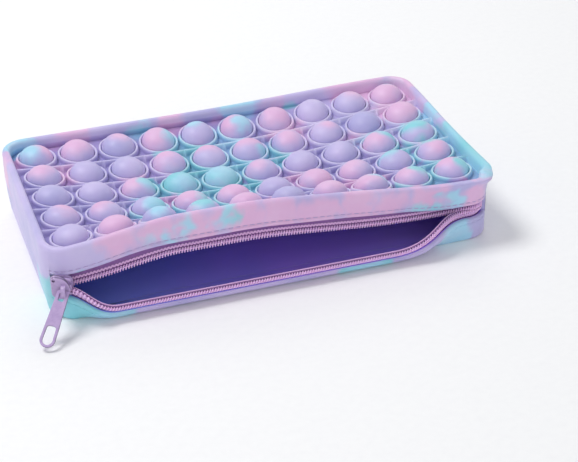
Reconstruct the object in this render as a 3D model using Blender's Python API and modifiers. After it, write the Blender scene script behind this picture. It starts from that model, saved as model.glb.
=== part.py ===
"""Soft silicone pencil case with a field of push-through bubbles on its lid and a coil
zipper along one long side.

Frame: +X runs along the length, +Y to the back, +Z up.  The mouth faces -Y and the case
stands on Z = 0 with the origin at the centre of its base.  Lengths below are in
millimetres and are scaled once, at MM.
"""

import math

import bmesh
import bpy
from mathutils import Matrix, Vector

MM = 0.001
GAP = 0.3                      # running gap kept between neighbouring solids

# shell
LENGTH = 200.0
WIDTH = 105.0
HEIGHT = 33.0                  # ground to the crest of the raised rim
CORNER_R = 11.0
WALL = 3.0
FLOOR = 2.2
CORNER_STEPS = 5

# bubble field
COLUMNS = 10
ROWS = 5
PITCH = 19.0
DECK_Z = 28.4                  # upper face of the lid between the bubbles
DECK_THICK = 1.6
COLLAR_Z = 29.8                # crest of the ring round each bubble
HOLE_R = 8.05
COLLAR_R = 9.15
BUBBLE_R = 7.7
BUBBLE_H = 4.8                 # collar crest to the top of a bubble
BUBBLE_WALL = 1.3
SEGMENTS = 12
SAG = 6.6                      # how far the middle of the lid hangs down

# mouth, upper lip and lower lip
SLIT_TOP = 20.5
SLIT_BOTTOM = 13.0
SLIT_REACH = 90.0              # half length of the opening and of both tapes
LIP_FIRST = 2                  # first and last column carried by the upper lip
LIP_LAST = 6
UPPER_HINGE_Y = -28.5
UPPER_HINGE_Z = 24.0
UPPER_OPEN = math.radians(18.0)
LOWER_X0 = -80.0
LOWER_X1 = 70.0
LOWER_HINGE_Y = -51.0
LOWER_HINGE_Z = 1.5
LOWER_OPEN = math.radians(70.0)

# zipper
TAPE_THICK = 0.6
TAPE_REACH = 4.0               # how far each tape reaches past the edge of its lip
TAPE_RAMP = 14.0               # length over which a tape follows its lip open
COIL_R = 0.85
SLIDER_X = -93.0
SLIDER_Y = -56.0
SLIDER_Z = 17.6
SLIDER_YAW = math.radians(-20.0)
TAB_LENGTH = 27.0
TAB_THICK = 1.3
TAB_PIVOT_OUT = 2.6            # from the slider plate's middle to the hinge axis
TAB_DROOP = math.radians(39.5)
TAB_SKEW = math.radians(15.0)

HALF_L = LENGTH / 2
HALF_W = WIDTH / 2
CELL = PITCH / 2
DECK_X = HALF_L - WALL - GAP
DECK_Y = HALF_W - WALL - GAP
DECK_CORNER = CORNER_R - WALL - GAP
LIP_X0 = (LIP_FIRST - COLUMNS / 2) * PITCH
LIP_X1 = (LIP_LAST + 1 - COLUMNS / 2) * PITCH


def clear_scene():
    for obj in list(bpy.data.objects):
        bpy.data.objects.remove(obj, do_unlink=True)


def collection(name):
    group = bpy.data.collections.new(name)
    bpy.context.scene.collection.children.link(group)
    return group


def material(name, colour, roughness, metallic=0.0):
    mat = bpy.data.materials.new(name)
    mat.use_nodes = True
    shader = mat.node_tree.nodes["Principled BSDF"]
    shader.inputs["Base Color"].default_value = (*colour, 1.0)
    shader.inputs["Roughness"].default_value = roughness
    shader.inputs["Metallic"].default_value = metallic
    mat.diffuse_color = (*colour, 1.0)
    return mat


def lavender(r, c):
    """Pastel shade that drifts over the bubble field."""
    wave = 0.5 + 0.5 * math.sin(1.7 * c + 2.3 * r)
    drift = 0.5 + 0.5 * math.cos(0.9 * c - 1.1 * r)
    return (0.62 + 0.14 * wave, 0.48 + 0.16 * drift, 0.76)


def sag_at(x, y):
    """Drop of the lid, zero along the rim and deepest near the middle."""
    along = max(0.0, 1.0 - (x / DECK_X) ** 2)
    across = max(0.0, 1.0 - ((y + 1.0) / 50.2) ** 2)
    return SAG * along * across


def place(name, mesh, group, mat, origin=(0.0, 0.0, 0.0), rotation=None):
    """Make an object whose mesh, given in case coordinates, has its origin moved."""
    mesh.transform(Matrix.Translation(-Vector(origin)))
    mesh.transform(Matrix.Scale(MM, 4))
    mesh.materials.clear()
    mesh.materials.append(mat)
    obj = bpy.data.objects.new(name, mesh)
    group.objects.link(obj)
    obj.location = Vector(origin) * MM
    if rotation is not None:
        obj.rotation_euler = rotation
    return obj


def finish_mesh(bm, name):
    bmesh.ops.remove_doubles(bm, verts=bm.verts, dist=1e-4)
    bmesh.ops.recalc_face_normals(bm, faces=bm.faces)
    mesh = bpy.data.meshes.new(name)
    bm.to_mesh(mesh)
    bm.free()
    return mesh


def rounded_outline(inset):
    """Corner-rounded rectangle of the shell, moved inwards by inset."""
    radius = max(CORNER_R - inset, 0.5)
    cx = HALF_L - inset - radius
    cy = HALF_W - inset - radius
    points = []
    for quarter in range(4):
        sx = 1 if quarter in (0, 3) else -1
        sy = 1 if quarter in (0, 1) else -1
        for step in range(CORNER_STEPS + 1):
            a = math.pi / 2 * (quarter + step / CORNER_STEPS)
            points.append((sx * cx + radius * math.cos(a), sy * cy + radius * math.sin(a)))
    return points


def lofted_tub():
    """Shell as loops stacked from the outer base, over the rim, down to the inner floor."""
    stations = [(2.2, 0.0), (0.65, 0.65), (0.0, 2.2), (0.0, HEIGHT - 1.1), (0.35, HEIGHT - 0.35)]
    stations += [(1.1, HEIGHT), (WALL - 0.8, HEIGHT), (WALL, HEIGHT - 0.8), (WALL, FLOOR)]
    bm = bmesh.new()
    loops = []
    for inset, z in stations:
        loops.append([bm.verts.new((x, y, z)) for x, y in rounded_outline(inset)])
    count = len(loops[0])
    for low, high in zip(loops, loops[1:]):
        for k in range(count):
            n = (k + 1) % count
            bm.faces.new((low[k], low[n], high[n], high[k]))
    bm.faces.new(list(reversed(loops[0])))
    bm.faces.new(loops[-1])
    return finish_mesh(bm, "case_tub")


def box_mesh(name, low, high):
    bm = bmesh.new()
    bmesh.ops.create_cube(bm, size=1.0)
    size = Vector(high) - Vector(low)
    middle = (Vector(high) + Vector(low)) / 2
    bmesh.ops.scale(bm, vec=size, verts=bm.verts)
    bmesh.ops.translate(bm, vec=middle, verts=bm.verts)
    return finish_mesh(bm, name)


def prism_x(name, profile, x0, x1, steps=1):
    """Closed outline in Y and Z carried along X."""
    bm = bmesh.new()
    loops = []
    for k in range(steps + 1):
        x = x0 + (x1 - x0) * k / steps
        loops.append([bm.verts.new((x, y, z)) for y, z in profile])
    count = len(profile)
    for low, high in zip(loops, loops[1:]):
        for k in range(count):
            n = (k + 1) % count
            bm.faces.new((low[k], low[n], high[n], high[k]))
    bm.faces.new(list(reversed(loops[0])))
    bm.faces.new(loops[-1])
    return finish_mesh(bm, name)


def cut(obj, cutter, operation="DIFFERENCE"):
    mod = obj.modifiers.new("bool_" + cutter.name, "BOOLEAN")
    mod.operation = operation
    mod.solver = "EXACT"
    mod.object = cutter
    cutter.hide_render = True
    cutter.display_type = "WIRE"


def bubble_centre(r, c):
    return ((c - (COLUMNS - 1) / 2) * PITCH, ((ROWS - 1) / 2 - r) * PITCH)


def on_lip(r, c):
    return r == ROWS - 1 and LIP_FIRST <= c <= LIP_LAST


def fit_edge(x, y, moving):
    """Move a cell's edge point out to the wall, or back from the lip's parting line."""
    eps = 0.05
    sx = 1 if x > 0 else -1
    at_end = abs(x) > CELL * COLUMNS - eps
    at_back = y > CELL * ROWS - eps
    at_front = y < -CELL * ROWS + eps
    side = -GAP if moving else GAP
    if LIP_X0 - eps < x < LIP_X1 + eps and abs(y - UPPER_HINGE_Y) < eps:
        y += side
    if y < UPPER_HINGE_Y + GAP + eps:
        if abs(x - LIP_X0) < eps:
            x -= side
        elif abs(x - LIP_X1) < eps:
            x += side
    if at_end:
        x = sx * DECK_X
    if at_back:
        y = DECK_Y
    if at_front:
        y = -HALF_W + WALL / 2 if moving else -DECK_Y
    if at_end and (at_back or at_front):
        reach = DECK_CORNER * (1 - math.sqrt(0.5))
        x -= sx * reach
        y -= reach if y > 0 else -reach
    return x, y


def deck_mesh(name, moving):
    """Lid plate with a collared hole per bubble, hung down by the sag."""
    bm = bmesh.new()
    made = {}
    edges = {}

    def vert(x, y, z):
        key = (round(x, 3), round(y, 3), round(z, 3))
        if key not in made:
            made[key] = bm.verts.new((x, y, z - sag_at(x, y)))
        return made[key]

    def quad(*corners):
        bm.faces.new([vert(*p) for p in corners])

    low = DECK_Z - DECK_THICK
    for r in range(ROWS):
        for c in range(COLUMNS):
            if on_lip(r, c) != moving:
                continue
            cx, cy = bubble_centre(r, c)
            rim = []
            for k in range(SEGMENTS):
                a = math.radians(15.0) + 2 * math.pi * k / SEGMENTS
                ux, uy = math.cos(a), math.sin(a)
                reach = CELL / max(abs(ux), abs(uy))
                edge = fit_edge(cx + ux * reach, cy + uy * reach, moving)
                rim.append((ux, uy, edge))
            for k in range(SEGMENTS):
                ux, uy, edge = rim[k]
                vx, vy, far = rim[(k + 1) % SEGMENTS]
                h0 = (cx + ux * HOLE_R, cy + uy * HOLE_R)
                h1 = (cx + vx * HOLE_R, cy + vy * HOLE_R)
                o0 = (cx + ux * COLLAR_R, cy + uy * COLLAR_R)
                o1 = (cx + vx * COLLAR_R, cy + vy * COLLAR_R)
                quad((*edge, low), (*h0, low), (*h1, low), (*far, low))
                quad((*h0, low), (*h0, COLLAR_Z), (*h1, COLLAR_Z), (*h1, low))
                quad((*h0, COLLAR_Z), (*o0, COLLAR_Z), (*o1, COLLAR_Z), (*h1, COLLAR_Z))
                quad((*o0, COLLAR_Z), (*o0, DECK_Z), (*o1, DECK_Z), (*o1, COLLAR_Z))
                quad((*o0, DECK_Z), (*edge, DECK_Z), (*far, DECK_Z), (*o1, DECK_Z))
                pair = tuple(sorted([tuple(round(v, 3) for v in edge),
                                     tuple(round(v, 3) for v in far)]))
                edges.setdefault(pair, []).append((edge, far))
    for uses in edges.values():
        if len(uses) == 1:
            edge, far = uses[0]
            quad((*edge, DECK_Z), (*edge, low), (*far, low), (*far, DECK_Z))
    return finish_mesh(bm, name)


def bubble_mesh():
    """Domed shell of one bubble, turned from its half profile, base on Z = 0."""
    outer = [(BUBBLE_R, -1.4), (BUBBLE_R, 0.2), (BUBBLE_R - 0.75, BUBBLE_H * 0.48)]
    outer += [(BUBBLE_R - 2.9, BUBBLE_H * 0.84), (0.0, BUBBLE_H)]
    roof = BUBBLE_H - BUBBLE_WALL
    inner = [(0.0, roof), (BUBBLE_R - 3.4, roof * 0.8), (BUBBLE_R - BUBBLE_WALL, -1.4)]
    mesh = bpy.data.meshes.new("bubble_profile")
    points = [(r, 0.0, z) for r, z in outer + inner]
    links = [(k, k + 1) for k in range(len(points) - 1)]
    links.append((len(points) - 1, 0))
    mesh.from_pydata(points, links, [])
    probe = bpy.data.objects.new("bubble_profile", mesh)
    bpy.context.scene.collection.objects.link(probe)
    turn = probe.modifiers.new("turn", "SCREW")
    turn.steps = SEGMENTS
    turn.render_steps = SEGMENTS
    turn.use_merge_vertices = True
    turn.merge_threshold = 0.0001
    turn.use_normal_calculate = True
    graph = bpy.context.evaluated_depsgraph_get()
    bm = bmesh.new()
    bm.from_mesh(probe.evaluated_get(graph).to_mesh())
    bpy.data.objects.remove(probe, do_unlink=True)
    bmesh.ops.remove_doubles(bm, verts=bm.verts, dist=1e-3)
    loose = [e for e in bm.edges if not e.link_faces]
    bmesh.ops.delete(bm, geom=loose, context="EDGES")
    bmesh.ops.rotate(bm, verts=bm.verts, cent=(0, 0, 0),
                     matrix=Matrix.Rotation(math.radians(15.0), 3, "Z"))
    return finish_mesh(bm, "bubble")


def swing(y, z, hinge_y, hinge_z, angle):
    """Turn a point about an axis along X; positive angle lifts what lies in front."""
    dy, dz = y - hinge_y, z - hinge_z
    ca, sa = math.cos(angle), math.sin(angle)
    return hinge_y + dy * ca + dz * sa, hinge_z + dz * ca - dy * sa


def upper_share(x):
    near = min(x - LIP_X0, LIP_X1 - x)
    return smooth_ramp(near, 0.0, TAPE_RAMP)


def lower_share(x):
    near = min(x - LOWER_X0, LOWER_X1 - x)
    return smooth_ramp(near, 0.0, TAPE_RAMP)


def smooth_ramp(x, zero, one):
    t = min(1.0, max(0.0, (x - zero) / (one - zero)))
    return t * t * (3 - 2 * t)


def tape_sweep(name, section, upper):
    """Carry a closed section along the mouth, opened as far as the lip is at each place."""
    bm = bmesh.new()
    loops = []
    steps = 36
    for k in range(steps + 1):
        x = -SLIT_REACH + 2 * SLIT_REACH * k / steps
        loop = []
        for y, z in section:
            if upper:
                y, z = swing(y, z, UPPER_HINGE_Y, UPPER_HINGE_Z, UPPER_OPEN * upper_share(x))
            else:
                y, z = swing(y, z, LOWER_HINGE_Y, LOWER_HINGE_Z, -LOWER_OPEN * lower_share(x))
            loop.append(bm.verts.new((x, y, z)))
        loops.append(loop)
    count = len(section)
    for low, high in zip(loops, loops[1:]):
        for k in range(count):
            n = (k + 1) % count
            bm.faces.new((low[k], low[n], high[n], high[k]))
    bm.faces.new(list(reversed(loops[0])))
    bm.faces.new(loops[-1])
    bmesh.ops.triangulate(bm, faces=bm.faces[:])
    return finish_mesh(bm, name)


def disc_section(y, z, radius, count=8):
    step = 2 * math.pi / count
    return [(y + radius * math.cos(k * step), z + radius * math.sin(k * step))
            for k in range(count)]


def slider_mesh():
    """Outer plate of the slider with the bridge that holds the tab, as one solid."""
    plate = [(-5.6, 2.6), (-3.6, 3.7), (1.5, 4.3), (5.6, 3.4), (5.6, -3.4), (1.5, -4.3)]
    plate += [(-3.6, -3.7), (-5.6, -2.6)]
    bm = bmesh.new()
    front = [bm.verts.new((x, -1.1, z)) for x, z in plate]
    back = [bm.verts.new((x, 1.1, z)) for x, z in plate]
    count = len(plate)
    for k in range(count):
        n = (k + 1) % count
        bm.faces.new((front[k], back[k], back[n], front[n]))
    bm.faces.new(front)
    bm.faces.new(list(reversed(back)))
    return finish_mesh(bm, "zipper_slider")


def bridge_mesh():
    """Arch that stands across the slider, open underneath for the tab's cross bar."""
    outer = [(0.4, -2.8), (-3.0, -2.8), (-3.9, -1.9), (-3.9, 1.9), (-3.0, 2.8), (0.4, 2.8)]
    inner = [(0.4, 1.8), (-3.0, 1.8), (-3.0, -1.8), (0.4, -1.8)]
    bm = bmesh.new()
    ring = [(y - 1.1, z) for y, z in outer + inner]
    left = [bm.verts.new((-0.9, y, z)) for y, z in ring]
    right = [bm.verts.new((0.9, y, z)) for y, z in ring]
    count = len(ring)
    for k in range(count):
        n = (k + 1) % count
        bm.faces.new((left[k], left[n], right[n], right[k]))
    bm.faces.new(left)
    bm.faces.new(list(reversed(right)))
    return finish_mesh(bm, "slider_bridge")


def lozenge(half_near, half_far, near, far, steps=5):
    """Long outline with rounded ends, wider at the far end, drawn along -Y."""
    points = []
    for k in range(steps + 1):
        a = math.pi * k / steps
        points.append((half_near * math.cos(a), near + half_near * math.sin(a) * 0.45))
    for k in range(steps + 1):
        a = math.pi + math.pi * k / steps
        points.append((half_far * math.cos(a), far + half_far * math.sin(a)))
    return points


def tab_mesh():
    """Flat pull tab as a filled curve: grip hole at the tip, window for the bridge.

    Lies in X and Y.  The hinge axis is the X axis, through the bar above the window, and
    the blade leaves it slightly askew because its eye is loose on the bridge.
    """
    curve = bpy.data.curves.new("tab_outline", "CURVE")
    curve.dimensions = "2D"
    curve.fill_mode = "BOTH"
    curve.extrude = TAB_THICK / 2 - 0.2
    curve.bevel_depth = 0.2
    curve.bevel_resolution = 0
    curve.resolution_u = 1
    window = [(2.0, -0.75), (-2.0, -0.75), (-2.0, -5.6), (2.0, -5.6)]
    blade = lozenge(2.9, 3.7, -0.5, -TAB_LENGTH + 3.7)
    grip = lozenge(2.3, 2.4, -TAB_LENGTH + 8.6, -TAB_LENGTH + 3.6)
    for points in (blade, window, grip):
        line = curve.splines.new("POLY")
        line.points.add(len(points) - 1)
        for point, (x, y) in zip(line.points, points):
            turned = Matrix.Rotation(-TAB_SKEW, 2) @ Vector((x, y))
            point.co = (turned.x, turned.y, 0.0, 1.0)
        line.use_cyclic_u = True
    probe = bpy.data.objects.new("tab_outline", curve)
    bpy.context.scene.collection.objects.link(probe)
    graph = bpy.context.evaluated_depsgraph_get()
    bm = bmesh.new()
    bm.from_mesh(bpy.data.meshes.new_from_object(probe.evaluated_get(graph)))
    bpy.data.objects.remove(probe, do_unlink=True)
    return finish_mesh(bm, "pull_tab")


clear_scene()
case = collection("bubble_pencil_case")
cutters = collection("cutters")
cutters.hide_render = True

silicone = (0.66, 0.60, 0.80)
tub = place("case_tub", lofted_tub(), case, material("tub_silicone", silicone, 0.55))
mat_cut = material("cutter", (0.5, 0.5, 0.5), 0.8)
low_cut = box_mesh("cut_lower", (LOWER_X0, -HALF_W - 2, -1.0),
                   (LOWER_X1, -HALF_W + WALL + 0.8, SLIT_BOTTOM + 2))
cut(tub, place("cut_lower", low_cut, cutters, mat_cut))
top_cut = box_mesh("cut_upper", (LIP_X0 - GAP, -HALF_W - 2, SLIT_TOP - 1),
                   (LIP_X1 + GAP, -HALF_W + WALL + 0.8, HEIGHT + 1))
cut(tub, place("cut_upper", top_cut, cutters, mat_cut))
slit = box_mesh("cut_slit", (-SLIT_REACH - 0.6, -HALF_W - 3, SLIT_BOTTOM),
                (SLIT_REACH + 0.6, -HALF_W + WALL + 1.0, SLIT_TOP))
cut(tub, place("cut_slit", slit, cutters, mat_cut))

place("top_panel", deck_mesh("top_panel", False), case, material("panel_silicone", silicone, 0.55))

upper_hinge = (0.0, UPPER_HINGE_Y, UPPER_HINGE_Z)
upper_turn = (-UPPER_OPEN, 0.0, 0.0)
lip_mat = material("upper_lip_silicone", (0.68, 0.58, 0.78), 0.55)
lip = place("upper_lip", deck_mesh("upper_lip", True), case, lip_mat, upper_hinge, upper_turn)
front = -HALF_W
back = -HALF_W + WALL
rim_profile = [(front, SLIT_TOP), (back, SLIT_TOP), (back, HEIGHT - 0.8), (back - 0.8, HEIGHT)]
rim_profile += [(front + 1.1, HEIGHT), (front, HEIGHT - 1.1)]
rim = prism_x("lip_wall", rim_profile, LIP_X0 + GAP, LIP_X1 - GAP)
cut(lip, place("lip_wall", rim, cutters, mat_cut, upper_hinge, upper_turn), "UNION")

lower_hinge = (0.0, LOWER_HINGE_Y, LOWER_HINGE_Z)
radius = WALL / 2
capsule = []
for k in range(9):
    a = math.pi + math.pi * k / 8
    capsule.append((LOWER_HINGE_Y + radius * math.cos(a), LOWER_HINGE_Z + radius * math.sin(a)))
for k in range(5):
    a = math.pi * k / 4
    capsule.append((LOWER_HINGE_Y + radius * math.cos(a), SLIT_BOTTOM - radius + radius * math.sin(a)))
flap = prism_x("lower_lip", capsule, LOWER_X0 + GAP, LOWER_X1 - GAP)
place("lower_lip", flap, case, material("lower_lip_silicone", (0.62, 0.60, 0.82), 0.55),
      lower_hinge, (LOWER_OPEN, 0.0, 0.0))

tape_y = back + GAP + 0.15
upper_tape = [(tape_y, SLIT_TOP - TAPE_REACH), (tape_y + TAPE_THICK, SLIT_TOP - TAPE_REACH)]
upper_tape += [(tape_y + TAPE_THICK, SLIT_TOP + 2.5), (tape_y, SLIT_TOP + 2.5)]
tape_colour = (0.42, 0.22, 0.52)
place("zipper_tape_upper", tape_sweep("zipper_tape_upper", upper_tape, True), case,
      material("upper_tape_weave", tape_colour, 0.9), upper_hinge)
lower_tape = [(tape_y, SLIT_BOTTOM - 2.5), (tape_y + TAPE_THICK, SLIT_BOTTOM - 2.5)]
lower_tape += [(tape_y + TAPE_THICK, SLIT_BOTTOM + 3.2), (tape_y, SLIT_BOTTOM + 3.2)]
place("zipper_tape_lower", tape_sweep("zipper_tape_lower", lower_tape, False), case,
      material("lower_tape_weave", tape_colour, 0.9), lower_hinge)

coil_y = tape_y - 0.5 - COIL_R
coil_colour = (0.60, 0.36, 0.66)
upper_coil = disc_section(coil_y, SLIT_TOP - TAPE_REACH + COIL_R + 0.1, COIL_R)
place("zipper_coil_upper", tape_sweep("zipper_coil_upper", upper_coil, True), case,
      material("upper_coil_nylon", coil_colour, 0.4), upper_hinge)
lower_coil = disc_section(coil_y, SLIT_BOTTOM + 3.2 - COIL_R - 0.1, COIL_R)
place("zipper_coil_lower", tape_sweep("zipper_coil_lower", lower_coil, False), case,
      material("lower_coil_nylon", coil_colour, 0.4), lower_hinge)

slider_at = (SLIDER_X, SLIDER_Y, SLIDER_Z)
slider_body = slider_mesh()
slider_body.transform(Matrix.Translation(slider_at))
bridge = bridge_mesh()
bridge.transform(Matrix.Translation(slider_at))
paint = (0.46, 0.32, 0.62)
slider = place("zipper_slider", slider_body, case, material("slider_paint", paint, 0.35, 0.3),
               slider_at, (0.0, 0.0, SLIDER_YAW))
cut(slider, place("slider_bridge", bridge, cutters, mat_cut, slider_at, (0.0, 0.0, SLIDER_YAW)),
    "UNION")

tab_axis = Matrix.Rotation(SLIDER_YAW, 3, "Z") @ Vector((1.0, 0.0, 0.0))
tab_out = Matrix.Rotation(SLIDER_YAW, 3, "Z") @ Vector((0.0, -1.0, 0.0))
tab_down = tab_out * math.cos(TAB_DROOP) - Vector((0.0, 0.0, math.sin(TAB_DROOP)))
tab_turn = Matrix((tab_axis, -tab_down, tab_axis.cross(-tab_down))).transposed()
tab = place("pull_tab", tab_mesh(), case, material("tab_paint", paint, 0.35, 0.3))
tab.location = (Vector(slider_at) + tab_out * TAB_PIVOT_OUT) * MM
tab.rotation_euler = tab_turn.to_euler()

dome = bubble_mesh()
for r in range(ROWS):
    for c in range(COLUMNS):
        x, y = bubble_centre(r, c)
        z = COLLAR_Z - sag_at(x, y)
        label = "bubble_r%d_c%02d" % (r + 1, c + 1)
        shade = material(label + "_silicone", lavender(r, c), 0.55)
        obj = place(label, dome.copy(), case, shade)
        turn = 0.0
        if on_lip(r, c):
            y, z = swing(y, z, UPPER_HINGE_Y, UPPER_HINGE_Z, UPPER_OPEN)
            turn = -UPPER_OPEN
        obj.location = Vector((x, y, z)) * MM
        obj.rotation_euler = (turn, 0.0, 0.0)
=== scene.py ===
"""Silicone bubble pencil case: the drawn version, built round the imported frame.
"""
import math

import bmesh
import bpy
import numpy as np
from mathutils import Matrix, Vector


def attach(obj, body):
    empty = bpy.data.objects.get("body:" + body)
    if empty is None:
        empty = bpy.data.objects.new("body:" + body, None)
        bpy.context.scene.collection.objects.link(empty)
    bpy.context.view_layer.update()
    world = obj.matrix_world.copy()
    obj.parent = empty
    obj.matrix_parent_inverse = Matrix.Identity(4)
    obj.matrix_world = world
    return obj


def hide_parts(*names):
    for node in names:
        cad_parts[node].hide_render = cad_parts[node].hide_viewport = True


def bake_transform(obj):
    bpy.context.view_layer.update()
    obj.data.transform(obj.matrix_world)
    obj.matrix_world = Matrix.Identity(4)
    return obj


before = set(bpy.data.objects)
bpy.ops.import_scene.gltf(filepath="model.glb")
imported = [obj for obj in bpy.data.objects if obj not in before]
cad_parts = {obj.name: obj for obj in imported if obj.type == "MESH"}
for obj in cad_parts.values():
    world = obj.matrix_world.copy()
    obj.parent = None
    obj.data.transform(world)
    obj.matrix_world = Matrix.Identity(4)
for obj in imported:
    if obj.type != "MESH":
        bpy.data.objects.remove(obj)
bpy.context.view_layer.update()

MM = 0.001
WELD = 2e-6                     # points closer than this, in metres, become one

# body: half length, half width and corner radius in plan, centres of the corner arcs
HALF_L, HALF_W, CORNER_R = 100.0, 52.5, 11.0
ARC_X, ARC_Y = HALF_L - CORNER_R, HALF_W - CORNER_R
RIM_W = 3.5                     # rim's width in plan
SKIN_IN = 2.7                   # inner face of the wall, from its outer face

# lid: grid of cells, faces, and how far its middle hangs
COLUMNS, ROWS, PITCH = 10, 5, 19.0
CELL = PITCH / 2
DECK_Z, UNDER_Z = 27.3, 26.1
SAG, SAG_X, SAG_Y, SAG_SHIFT = 6.6, 96.7, 50.2, 1.0
RING_R, RING_HALF, RING_H = 8.5, 0.84, 2.7
RIDGE_HALF, RIDGE_H = 1.15, 2.45

# bubbles: base radius, height above the crease, height of the crease
BUBBLE_R, BUBBLE_H, CREASE_Z = 7.62, 6.1, 28.8
UNDER_GAP = 1.6                 # from a bubble's outside down to its inner skin

# lips: hinge as (y, z), turn from open to shut, and the places along X where the turn
# begins, is full, is still full and ends
UP_HINGE, UP_ANGLE = (-28.5, 24.0), math.radians(18.0)
LOW_HINGE, LOW_ANGLE = (-51.0, 1.5), math.radians(70.0)
UP_BREAKS = (-97.0, -42.0, -18.0, 76.0)
LOW_BREAKS = (-101.0, -72.0, 50.0, 95.0)
SLIT_LEFT, SLIT_RIGHT = math.radians(-50.0), math.radians(60.0)  # mouth's ends, on the corners


# ---------------------------------------------------------------- shape helpers
def smooth(t):
    """Eased step from 0 to 1."""
    t = np.clip(t, 0.0, 1.0)
    return t * t * (3 - 2 * t)


def share(x, breaks):
    """How far a place along the mouth follows its lip, 0 to 1."""
    a, b, c, d = breaks
    return np.where(x < b, smooth((x - a) / (b - a)), smooth((d - x) / (d - c)))


def unbend(p, hinge, angle, breaks):
    """Undo the blended turn by angle about an axis along X, giving the open shape."""
    p = np.array(p, float)
    w = share(p[:, 0], breaks)
    a = 1 - w + w * math.cos(angle)
    b = w * math.sin(angle)
    d = a * a + b * b
    dy, dz = p[:, 1] - hinge[0], p[:, 2] - hinge[1]
    p[:, 1] = hinge[0] + (a * dy + b * dz) / d
    p[:, 2] = hinge[1] + (a * dz - b * dy) / d
    return p


def open_upper(p):
    return unbend(p, UP_HINGE, UP_ANGLE, UP_BREAKS)


def open_lower(p):
    return unbend(p, LOW_HINGE, -LOW_ANGLE, LOW_BREAKS)


def sag(x, y):
    """How far the lid hangs at a place in plan."""
    lengthwise = np.clip(1 - (x / SAG_X) ** 2, 0, None)
    across = np.clip(1 - ((y + SAG_SHIFT) / SAG_Y) ** 2, 0, None)
    return SAG * lengthwise * across


def settle_soft(p):
    """How the soft rubber has settled with use, before the mouth is opened."""
    p = np.array(p, float)
    x, y, z = p.T.copy()
    # the front rim droops along its middle and leans out
    droop = 0.3 + 1.7 * smooth((x + 95) / 50) * smooth((64 - x) / 55)
    droop *= smooth((-y - 43) / 6) * smooth((z - 21) / 9)
    # the lower lip puffs out, and so does the foot of the front left corner
    puff = 2.0 * smooth((x + 96) / 24) * smooth((92 - x) / 34)
    puff *= smooth((z - 1.0) / 6.5) * smooth((13.6 - z) / 4.0)
    corner = 1.4 * smooth((x + 99) / 11) * smooth((-48 - x) / 32) * smooth((11 - z) / 7)
    p[:, 1] -= droop + (puff + corner) * smooth((-y - 44) / 4)
    p[:, 2] -= droop
    # the back right of the lid is lifted
    lift = 2.2 * smooth((x + 10) / 100) * smooth((y + 30) / 70) * smooth((z - 18) / 8)
    # the rim rolls out and down at the front right corner and along the right side
    rightward = smooth((x - 20) / 75)
    front = smooth((-y - 46) / 4.5)
    side = smooth((x - 93.5) / 4) * smooth((10 - y) / 60)
    high = np.clip((z - 23) / 10, 0, 1.1) ** 1.5
    p[:, 0] += 3.0 * high * np.maximum(rightward ** 2 * front, side)
    p[:, 1] -= 3.5 * high * rightward * front
    p[:, 2] += lift - 2.0 * high * np.maximum(rightward * front, side)
    return p


class Soup:
    """Collects vertices and faces for one mesh."""

    def __init__(self):
        self.points, self.faces, self.mats, self.count = [], [], [], 0

    def add(self, points, faces, mat=0):
        points = np.asarray(points, float).reshape(-1, 3)
        self.points.append(points)
        self.faces.extend([tuple(int(i) + self.count for i in f) for f in faces])
        self.mats.extend([mat] * len(faces) if np.isscalar(mat) else list(mat))
        self.count += len(points)

    def grid(self, points, mat=0, wrap=False, flip=False):
        """points is rows x columns x 3; wrap joins the last column to the first."""
        rows, cols = points.shape[:2]
        span = cols if wrap else cols - 1
        faces, mats = [], []
        for i in range(rows - 1):
            for j in range(span):
                k = (j + 1) % cols
                quad = (i * cols + j, i * cols + k, (i + 1) * cols + k, (i + 1) * cols + j)
                faces.append(quad[::-1] if flip else quad)
                mats.append(mat if np.isscalar(mat) else mat[j])
        self.add(points, faces, mats)

    def make(self, name, materials, bend=None):
        """Settle, open with bend, keep above the floor and turn into an object."""
        points = settle_soft(np.concatenate(self.points))
        if bend is not None:
            points = bend(points)
        points[:, 2] = np.maximum(points[:, 2], 0.0)
        mesh = bpy.data.meshes.new(name)
        mesh.from_pydata((points * MM).tolist(), [], self.faces)
        for m in materials:
            mesh.materials.append(m)
        mesh.polygons.foreach_set("material_index", self.mats)
        mesh.polygons.foreach_set("use_smooth", [True] * len(self.faces))
        mesh.update()
        obj = bpy.data.objects.new(name, mesh)
        bpy.context.scene.collection.objects.link(obj)
        weld(obj)
        return obj


def weld(obj):
    bm = bmesh.new()
    bm.from_mesh(obj.data)
    bmesh.ops.remove_doubles(bm, verts=bm.verts, dist=WELD)
    bm.to_mesh(obj.data)
    bm.free()


# ---------------------------------------------------------------- materials
def linear(r, g, b):
    """Colour from 0 to 255 in sRGB, as the linear colour a socket takes."""
    def one(c):
        c = c / 255.0
        return c / 12.92 if c <= 0.04045 else ((c + 0.055) / 1.055) ** 2.4
    return (one(r), one(g), one(b), 1.0)


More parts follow.
